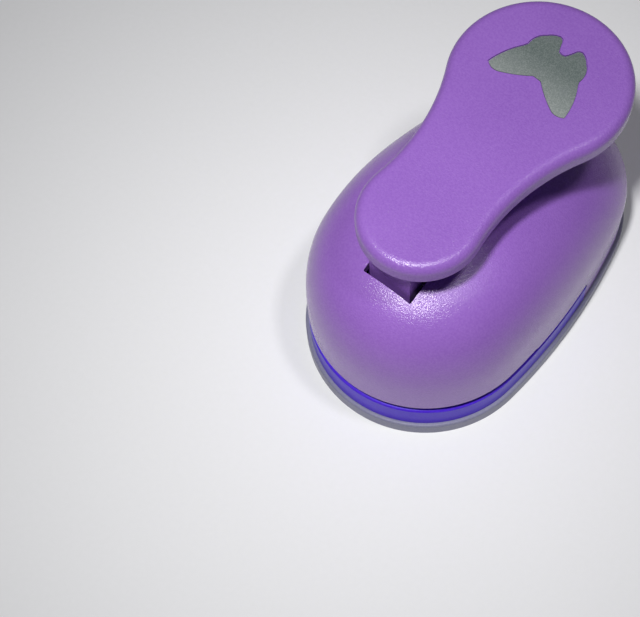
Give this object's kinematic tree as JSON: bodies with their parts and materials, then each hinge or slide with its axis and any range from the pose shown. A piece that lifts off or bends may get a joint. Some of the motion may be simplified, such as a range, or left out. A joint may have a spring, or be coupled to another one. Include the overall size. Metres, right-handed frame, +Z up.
{
  "type": "craft punch",
  "caption": "Thumb-lever paper punch with a domed housing; pressing the lever drives a butterfly-shaped cutter through paper into a steel die.",
  "frame": {"origin": "on the surface the punch stands on, under the middle of its length and width", "axes": "+Z up, -Y towards the paper slot at the front, +Y towards the thumb pad, X across"},
  "size_m": [0.048, 0.076, 0.0503],
  "materials": {
    "housing_plastic": "purple moulded plastic with a fine satin grain",
    "lever_plastic": "light purple moulded plastic with a fine satin grain",
    "base_plastic": "blue-violet moulded plastic",
    "icon_silver": "silver-grey foil inlay",
    "die_steel": "ground tool steel",
    "frame_steel": "pressed zinc-plated sheet",
    "pin_steel": "turned steel",
    "spring_steel": "drawn spring wire",
    "screw_steel": "zinc-plated screws"
  },
  "bodies": {
    "body": {"bottom_plate": "base_plastic", "base": "base_plastic", "housing": "housing_plastic", "die_plate": "die_steel", "throat_spacer": "frame_steel", "stripper_plate": "frame_steel", "mechanism_frame": "frame_steel", "lever_pin": "pin_steel", "pin_clips": "spring_steel", "guide_post_left": "pin_steel", "guide_post_right": "pin_steel", "return_spring_left": "spring_steel", "return_spring_right": "spring_steel", "post_clips": "spring_steel", "stack_screws": "screw_steel", "stripper_screws": "screw_steel", "housing_screws": "screw_steel", "bottom_screws": "screw_steel"},
    "lever": {"lever": "lever_plastic", "icon_inlay": "icon_silver", "lever_cam": "die_steel", "cam_rivets": "pin_steel"},
    "punch": {"punch_cutter": "die_steel", "punch_head": "frame_steel", "punch_screws": "screw_steel"}
  },
  "joints": [
    {"name": "lever_pivot", "type": "hinge", "parent": "body", "child": "lever", "pos_m": [0, -0.02, 0.0303], "axis": [-1, 0, 0], "range_deg": [0, 24]},
    {"name": "punch_slide", "type": "slide", "parent": "body", "child": "punch", "axis": [0, 0, -1], "range_m": [0, 0.00503], "stiffness_N_per_m": 11000, "springref_m": -0.002, "deforming": ["return_spring_left", "return_spring_right"]}
  ],
  "couplings": [
    {"joint": "lever_pivot", "follows": "punch_slide", "rad_per_m": 83.333}
  ]
}
